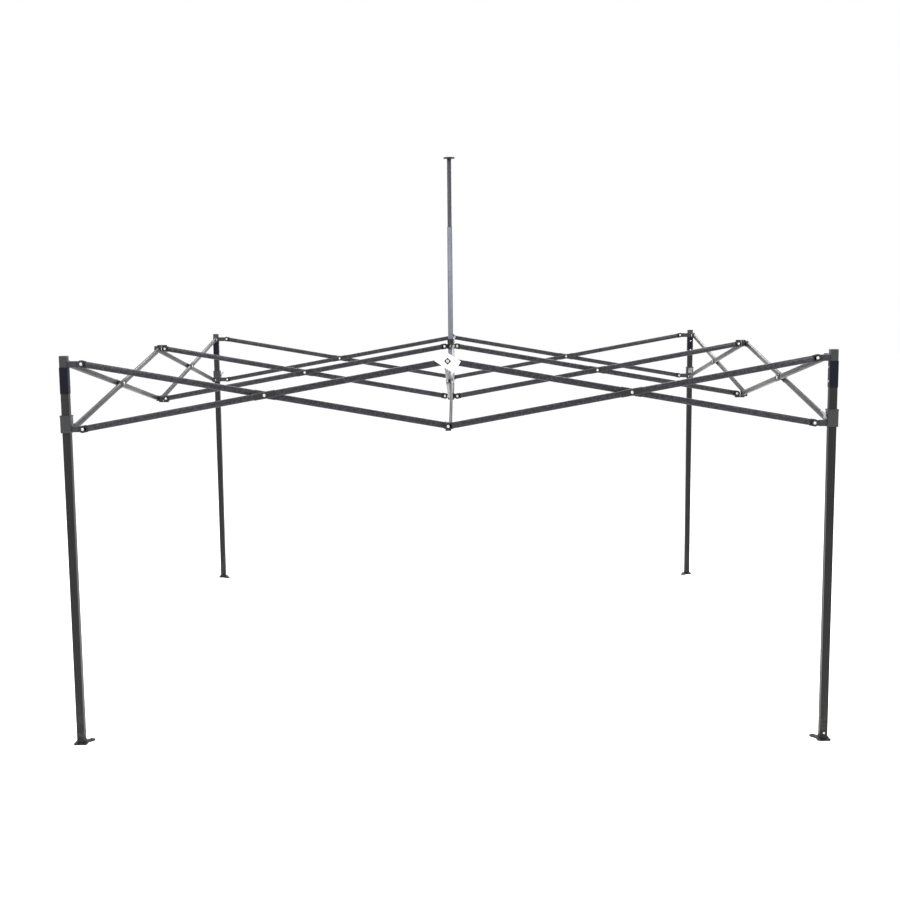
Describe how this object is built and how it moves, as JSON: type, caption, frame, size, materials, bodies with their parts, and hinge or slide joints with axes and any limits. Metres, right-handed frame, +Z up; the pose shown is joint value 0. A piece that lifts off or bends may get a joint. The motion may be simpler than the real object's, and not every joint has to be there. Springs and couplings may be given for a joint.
{
  "type": "pop up canopy frame",
  "caption": "Bare folding frame of a square pop up canopy: scissor trusses on telescoping legs, with a telescoping centre mast and no fabric top.",
  "frame": {"origin": "on the ground, at the centre of the square that the four legs stand in", "axes": "+Z up; +X to the right and -Y to the front, each square to a side of the frame"},
  "size_m": [2.972, 2.972, 2.416],
  "materials": {
    "leg_charcoal": "satin",
    "bar_hammer_grey": "satin",
    "bracket_grey": "satin",
    "inner_leg_grey": "satin",
    "mast_silver": "satin",
    "pole_grey": "satin",
    "cap_black": "satin",
    "plate_white": "satin"
  },
  "bodies": {
    "upper_hub": {"upper_hub": "cap_black"},
    "front_inner_bar_a": {"front_inner_bar_a": "bar_hammer_grey"},
    "front_inner_bar_b": {"front_inner_bar_b": "bar_hammer_grey"},
    "front_lower_bracket": {"front_lower_bracket": "cap_black"},
    "front_upper_bracket": {"front_upper_bracket": "cap_black", "blank_plate": "plate_white"},
    "front_top_bar_right": {"front_top_bar_right": "bar_hammer_grey"},
    "front_top_bar_left": {"front_top_bar_left": "bar_hammer_grey"},
    "front_slider_bar_right": {"front_slider_bar_right": "bar_hammer_grey"},
    "front_slider_bar_left": {"front_slider_bar_left": "bar_hammer_grey"},
    "lower_hub": {"lower_hub": "cap_black", "mast_tube": "mast_silver"},
    "peak_pole": {"peak_pole": "pole_grey", "peak_cap": "cap_black"},
    "front_right_leg": {"front_right_outer_leg": "leg_charcoal", "front_right_leg_top": "bracket_grey"},
    "front_right_inner_leg": {"front_right_inner_leg": "inner_leg_grey"},
    "front_right_slider": {"front_right_slider": "bracket_grey"},
    "front_right_latch": {"front_right_latch": "bracket_grey"},
    "right_inner_bar_a": {"right_inner_bar_a": "bar_hammer_grey"},
    "right_inner_bar_b": {"right_inner_bar_b": "bar_hammer_grey"},
    "right_lower_bracket": {"right_lower_bracket": "cap_black"},
    "right_upper_bracket": {"right_upper_bracket": "cap_black"},
    "right_top_bar_right": {"right_top_bar_right": "bar_hammer_grey"},
    "right_top_bar_left": {"right_top_bar_left": "bar_hammer_grey"},
    "right_slider_bar_right": {"right_slider_bar_right": "bar_hammer_grey"},
    "right_slider_bar_left": {"right_slider_bar_left": "bar_hammer_grey"},
    "back_right_leg": {"back_right_outer_leg": "leg_charcoal", "back_right_leg_top": "bracket_grey"},
    "back_right_inner_leg": {"back_right_inner_leg": "inner_leg_grey"},
    "back_right_slider": {"back_right_slider": "bracket_grey"},
    "back_right_latch": {"back_right_latch": "bracket_grey"},
    "back_inner_bar_a": {"back_inner_bar_a": "bar_hammer_grey"},
    "back_inner_bar_b": {"back_inner_bar_b": "bar_hammer_grey"},
    "back_lower_bracket": {"back_lower_bracket": "cap_black"},
    "back_upper_bracket": {"back_upper_bracket": "cap_black"},
    "back_top_bar_right": {"back_top_bar_right": "bar_hammer_grey"},
    "back_top_bar_left": {"back_top_bar_left": "bar_hammer_grey"},
    "back_slider_bar_right": {"back_slider_bar_right": "bar_hammer_grey"},
    "back_slider_bar_left": {"back_slider_bar_left": "bar_hammer_grey"},
    "back_left_leg": {"back_left_outer_leg": "leg_charcoal", "back_left_leg_top": "bracket_grey"},
    "back_left_inner_leg": {"back_left_inner_leg": "inner_leg_grey"},
    "back_left_slider": {"back_left_slider": "bracket_grey"},
    "back_left_latch": {"back_left_latch": "bracket_grey"},
    "left_inner_bar_a": {"left_inner_bar_a": "bar_hammer_grey"},
    "left_inner_bar_b": {"left_inner_bar_b": "bar_hammer_grey"},
    "left_lower_bracket": {"left_lower_bracket": "cap_black"},
    "left_upper_bracket": {"left_upper_bracket": "cap_black"},
    "left_top_bar_right": {"left_top_bar_right": "bar_hammer_grey"},
    "left_top_bar_left": {"left_top_bar_left": "bar_hammer_grey"},
    "left_slider_bar_right": {"left_slider_bar_right": "bar_hammer_grey"},
    "left_slider_bar_left": {"left_slider_bar_left": "bar_hammer_grey"},
    "front_left_leg": {"front_left_outer_leg": "leg_charcoal", "front_left_leg_top": "bracket_grey"},
    "front_left_inner_leg": {"front_left_inner_leg": "inner_leg_grey"},
    "front_left_slider": {"front_left_slider": "bracket_grey"},
    "front_left_latch": {"front_left_latch": "bracket_grey"}
  },
  "joints": [
    {"name": "fold", "type": "hinge", "parent": "upper_hub", "child": "front_inner_bar_a", "pos_m": [0, -0.031, 1.496], "axis": [1, 0, 0], "range_deg": [0, 77.5]},
    {"name": "front_lower_bracket_turn", "type": "hinge", "parent": "front_inner_bar_a", "child": "front_lower_bracket", "pos_m": [0, -1.427, 1.248], "axis": [1, 0, 0], "range_deg": [-77.5, 0]},
    {"name": "front_inner_cross", "type": "hinge", "parent": "front_inner_bar_a", "child": "front_inner_bar_b", "pos_m": [0, -0.729, 1.372], "axis": [1, 0, 0], "range_deg": [-155, 0]},
    {"name": "front_upper_bracket_turn", "type": "hinge", "parent": "front_inner_bar_b", "child": "front_upper_bracket", "pos_m": [0, -1.427, 1.496], "axis": [1, 0, 0], "range_deg": [0, 77.5]},
    {"name": "lower_hub_turn", "type": "hinge", "parent": "front_inner_bar_b", "child": "lower_hub", "pos_m": [0, -0.031, 1.248], "axis": [1, 0, 0], "range_deg": [0, 77.5]},
    {"name": "front_top_right_fold", "type": "hinge", "parent": "front_lower_bracket", "child": "front_top_bar_right", "pos_m": [0, -1.46, 1.248], "axis": [0, -1, 0], "range_deg": [0, 77.5]},
    {"name": "front_top_left_fold", "type": "hinge", "parent": "front_lower_bracket", "child": "front_top_bar_left", "pos_m": [0, -1.46, 1.248], "axis": [0, -1, 0], "range_deg": [-77.5, 0]},
    {"name": "front_slider_right_fold", "type": "hinge", "parent": "front_upper_bracket", "child": "front_slider_bar_right", "pos_m": [0, -1.46, 1.496], "axis": [0, -1, 0], "range_deg": [-77.5, 0]},
    {"name": "front_slider_left_fold", "type": "hinge", "parent": "front_upper_bracket", "child": "front_slider_bar_left", "pos_m": [0, -1.46, 1.496], "axis": [0, -1, 0], "range_deg": [0, 77.5]},
    {"name": "front_right_leg_turn", "type": "hinge", "parent": "front_top_bar_right", "child": "front_right_leg", "pos_m": [1.396, -1.46, 1.496], "axis": [0, -1, 0], "range_deg": [-77.5, 0]},
    {"name": "front_right_slider_turn", "type": "hinge", "parent": "front_slider_bar_right", "child": "front_right_slider", "pos_m": [1.396, -1.46, 1.248], "axis": [0, -1, 0], "range_deg": [0, 77.5]},
    {"name": "front_right_leg_extend", "type": "slide", "parent": "front_right_leg", "child": "front_right_inner_leg", "axis": [0, 0, -1], "range_m": [0, 0.866]},
    {"name": "front_right_latch_press", "type": "hinge", "parent": "front_right_slider", "child": "front_right_latch", "pos_m": [1.434, -1.46, 1.268], "axis": [0, -1, 0], "range_deg": [0, 20], "stiffness_Nm_per_rad": 0.4},
    {"name": "right_inner_a_fold", "type": "hinge", "parent": "upper_hub", "child": "right_inner_bar_a", "pos_m": [0.031, 0, 1.496], "axis": [0, 1, 0], "range_deg": [0, 77.5]},
    {"name": "right_lower_bracket_turn", "type": "hinge", "parent": "right_inner_bar_a", "child": "right_lower_bracket", "pos_m": [1.427, 0, 1.248], "axis": [0, 1, 0], "range_deg": [-77.5, 0]},
    {"name": "right_inner_cross", "type": "hinge", "parent": "right_inner_bar_a", "child": "right_inner_bar_b", "pos_m": [0.729, 0, 1.372], "axis": [0, 1, 0], "range_deg": [-155, 0]},
    {"name": "right_upper_bracket_turn", "type": "hinge", "parent": "right_inner_bar_b", "child": "right_upper_bracket", "pos_m": [1.427, 0, 1.496], "axis": [0, 1, 0], "range_deg": [0, 77.5]},
    {"name": "right_top_right_fold", "type": "hinge", "parent": "right_lower_bracket", "child": "right_top_bar_right", "pos_m": [1.46, 0, 1.248], "axis": [1, 0, 0], "range_deg": [0, 77.5]},
    {"name": "right_top_left_fold", "type": "hinge", "parent": "right_lower_bracket", "child": "right_top_bar_left", "pos_m": [1.46, 0, 1.248], "axis": [1, 0, 0], "range_deg": [-77.5, 0]},
    {"name": "right_slider_right_fold", "type": "hinge", "parent": "right_upper_bracket", "child": "right_slider_bar_right", "pos_m": [1.46, 0, 1.496], "axis": [1, 0, 0], "range_deg": [-77.5, 0]},
    {"name": "right_slider_left_fold", "type": "hinge", "parent": "right_upper_bracket", "child": "right_slider_bar_left", "pos_m": [1.46, 0, 1.496], "axis": [1, 0, 0], "range_deg": [0, 77.5]},
    {"name": "back_right_leg_turn", "type": "hinge", "parent": "right_top_bar_right", "child": "back_right_leg", "pos_m": [1.46, 1.396, 1.496], "axis": [1, 0, 0], "range_deg": [-77.5, 0]},
    {"name": "back_right_slider_turn", "type": "hinge", "parent": "right_slider_bar_right", "child": "back_right_slider", "pos_m": [1.46, 1.396, 1.248], "axis": [1, 0, 0], "range_deg": [0, 77.5]},
    {"name": "back_right_leg_extend", "type": "slide", "parent": "back_right_leg", "child": "back_right_inner_leg", "axis": [0, 0, -1], "range_m": [0, 0.866]},
    {"name": "back_right_latch_press", "type": "hinge", "parent": "back_right_slider", "child": "back_right_latch", "pos_m": [1.46, 1.434, 1.268], "axis": [1, 0, 0], "range_deg": [0, 20], "stiffness_Nm_per_rad": 0.4},
    {"name": "back_inner_a_fold", "type": "hinge", "parent": "upper_hub", "child": "back_inner_bar_a", "pos_m": [0, 0.031, 1.496], "axis": [-1, 0, 0], "range_deg": [0, 77.5]},
    {"name": "back_lower_bracket_turn", "type": "hinge", "parent": "back_inner_bar_a", "child": "back_lower_bracket", "pos_m": [0, 1.427, 1.248], "axis": [-1, 0, 0], "range_deg": [-77.5, 0]},
    {"name": "back_inner_cross", "type": "hinge", "parent": "back_inner_bar_a", "child": "back_inner_bar_b", "pos_m": [0, 0.729, 1.372], "axis": [-1, 0, 0], "range_deg": [-155, 0]},
    {"name": "back_upper_bracket_turn", "type": "hinge", "parent": "back_inner_bar_b", "child": "back_upper_bracket", "pos_m": [0, 1.427, 1.496], "axis": [-1, 0, 0], "range_deg": [0, 77.5]},
    {"name": "back_top_right_fold", "type": "hinge", "parent": "back_lower_bracket", "child": "back_top_bar_right", "pos_m": [0, 1.46, 1.248], "axis": [0, 1, 0], "range_deg": [0, 77.5]},
    {"name": "back_top_left_fold", "type": "hinge", "parent": "back_lower_bracket", "child": "back_top_bar_left", "pos_m": [0, 1.46, 1.248], "axis": [0, 1, 0], "range_deg": [-77.5, 0]},
    {"name": "back_slider_right_fold", "type": "hinge", "parent": "back_upper_bracket", "child": "back_slider_bar_right", "pos_m": [0, 1.46, 1.496], "axis": [0, 1, 0], "range_deg": [-77.5, 0]},
    {"name": "back_slider_left_fold", "type": "hinge", "parent": "back_upper_bracket", "child": "back_slider_bar_left", "pos_m": [0, 1.46, 1.496], "axis": [0, 1, 0], "range_deg": [0, 77.5]},
    {"name": "back_left_leg_turn", "type": "hinge", "parent": "back_top_bar_right", "child": "back_left_leg", "pos_m": [-1.396, 1.46, 1.496], "axis": [0, 1, 0], "range_deg": [-77.5, 0]},
    {"name": "back_left_slider_turn", "type": "hinge", "parent": "back_slider_bar_right", "child": "back_left_slider", "pos_m": [-1.396, 1.46, 1.248], "axis": [0, 1, 0], "range_deg": [0, 77.5]},
    {"name": "back_left_leg_extend", "type": "slide", "parent": "back_left_leg", "child": "back_left_inner_leg", "axis": [0, 0, -1], "range_m": [0, 0.866]},
    {"name": "back_left_latch_press", "type": "hinge", "parent": "back_left_slider", "child": "back_left_latch", "pos_m": [-1.434, 1.46, 1.268], "axis": [0, 1, 0], "range_deg": [0, 20], "stiffness_Nm_per_rad": 0.4},
    {"name": "left_inner_a_fold", "type": "hinge", "parent": "upper_hub", "child": "left_inner_bar_a", "pos_m": [-0.031, 0, 1.496], "axis": [0, -1, 0], "range_deg": [0, 77.5]},
    {"name": "left_lower_bracket_turn", "type": "hinge", "parent": "left_inner_bar_a", "child": "left_lower_bracket", "pos_m": [-1.427, 0, 1.248], "axis": [0, -1, 0], "range_deg": [-77.5, 0]},
    {"name": "left_inner_cross", "type": "hinge", "parent": "left_inner_bar_a", "child": "left_inner_bar_b", "pos_m": [-0.729, 0, 1.372], "axis": [0, -1, 0], "range_deg": [-155, 0]},
    {"name": "left_upper_bracket_turn", "type": "hinge", "parent": "left_inner_bar_b", "child": "left_upper_bracket", "pos_m": [-1.427, 0, 1.496], "axis": [0, -1, 0], "range_deg": [0, 77.5]},
    {"name": "left_top_right_fold", "type": "hinge", "parent": "left_lower_bracket", "child": "left_top_bar_right", "pos_m": [-1.46, 0, 1.248], "axis": [-1, 0, 0], "range_deg": [0, 77.5]},
    {"name": "left_top_left_fold", "type": "hinge", "parent": "left_lower_bracket", "child": "left_top_bar_left", "pos_m": [-1.46, 0, 1.248], "axis": [-1, 0, 0], "range_deg": [-77.5, 0]},
    {"name": "left_slider_right_fold", "type": "hinge", "parent": "left_upper_bracket", "child": "left_slider_bar_right", "pos_m": [-1.46, 0, 1.496], "axis": [-1, 0, 0], "range_deg": [-77.5, 0]},
    {"name": "left_slider_left_fold", "type": "hinge", "parent": "left_upper_bracket", "child": "left_slider_bar_left", "pos_m": [-1.46, 0, 1.496], "axis": [-1, 0, 0], "range_deg": [0, 77.5]},
    {"name": "front_left_leg_turn", "type": "hinge", "parent": "left_top_bar_right", "child": "front_left_leg", "pos_m": [-1.46, -1.396, 1.496], "axis": [-1, 0, 0], "range_deg": [-77.5, 0]},
    {"name": "front_left_slider_turn", "type": "hinge", "parent": "left_slider_bar_right", "child": "front_left_slider", "pos_m": [-1.46, -1.396, 1.248], "axis": [-1, 0, 0], "range_deg": [0, 77.5]},
    {"name": "front_left_leg_extend", "type": "slide", "parent": "front_left_leg", "child": "front_left_inner_leg", "axis": [0, 0, -1], "range_m": [0, 0.866]},
    {"name": "front_left_latch_press", "type": "hinge", "parent": "front_left_slider", "child": "front_left_latch", "pos_m": [-1.46, -1.434, 1.268], "axis": [-1, 0, 0], "range_deg": [0, 20], "stiffness_Nm_per_rad": 0.4},
    {"name": "peak_pole_slide", "type": "slide", "parent": "lower_hub", "child": "peak_pole", "axis": [0, 0, 1], "range_m": [0, 0.3189]}
  ],
  "couplings": [
    {"joint": "front_lower_bracket_turn", "follows": "fold", "ratio": -1},
    {"joint": "front_inner_cross", "follows": "fold", "ratio": -2},
    {"joint": "front_upper_bracket_turn", "follows": "fold", "ratio": 1},
    {"joint": "lower_hub_turn", "follows": "fold", "ratio": 1},
    {"joint": "front_top_right_fold", "follows": "fold", "ratio": 1},
    {"joint": "front_top_left_fold", "follows": "fold", "ratio": -1},
    {"joint": "front_slider_right_fold", "follows": "fold", "ratio": -1},
    {"joint": "front_slider_left_fold", "follows": "fold", "ratio": 1},
    {"joint": "front_right_leg_turn", "follows": "fold", "ratio": -1},
    {"joint": "front_right_slider_turn", "follows": "fold", "ratio": 1},
    {"joint": "right_inner_a_fold", "follows": "fold", "ratio": 1},
    {"joint": "right_lower_bracket_turn", "follows": "fold", "ratio": -1},
    {"joint": "right_inner_cross", "follows": "fold", "ratio": -2},
    {"joint": "right_upper_bracket_turn", "follows": "fold", "ratio": 1},
    {"joint": "right_top_right_fold", "follows": "fold", "ratio": 1},
    {"joint": "right_top_left_fold", "follows": "fold", "ratio": -1},
    {"joint": "right_slider_right_fold", "follows": "fold", "ratio": -1},
    {"joint": "right_slider_left_fold", "follows": "fold", "ratio": 1},
    {"joint": "back_right_leg_turn", "follows": "fold", "ratio": -1},
    {"joint": "back_right_slider_turn", "follows": "fold", "ratio": 1},
    {"joint": "back_inner_a_fold", "follows": "fold", "ratio": 1},
    {"joint": "back_lower_bracket_turn", "follows": "fold", "ratio": -1},
    {"joint": "back_inner_cross", "follows": "fold", "ratio": -2},
    {"joint": "back_upper_bracket_turn", "follows": "fold", "ratio": 1},
    {"joint": "back_top_right_fold", "follows": "fold", "ratio": 1},
    {"joint": "back_top_left_fold", "follows": "fold", "ratio": -1},
    {"joint": "back_slider_right_fold", "follows": "fold", "ratio": -1},
    {"joint": "back_slider_left_fold", "follows": "fold", "ratio": 1},
    {"joint": "back_left_leg_turn", "follows": "fold", "ratio": -1},
    {"joint": "back_left_slider_turn", "follows": "fold", "ratio": 1},
    {"joint": "left_inner_a_fold", "follows": "fold", "ratio": 1},
    {"joint": "left_lower_bracket_turn", "follows": "fold", "ratio": -1},
    {"joint": "left_inner_cross", "follows": "fold", "ratio": -2},
    {"joint": "left_upper_bracket_turn", "follows": "fold", "ratio": 1},
    {"joint": "left_top_right_fold", "follows": "fold", "ratio": 1},
    {"joint": "left_top_left_fold", "follows": "fold", "ratio": -1},
    {"joint": "left_slider_right_fold", "follows": "fold", "ratio": -1},
    {"joint": "left_slider_left_fold", "follows": "fold", "ratio": 1},
    {"joint": "front_left_leg_turn", "follows": "fold", "ratio": -1},
    {"joint": "front_left_slider_turn", "follows": "fold", "ratio": 1},
    {"joint": "peak_pole_slide", "follows": "fold", "m_per_rad": 0.235}
  ]
}
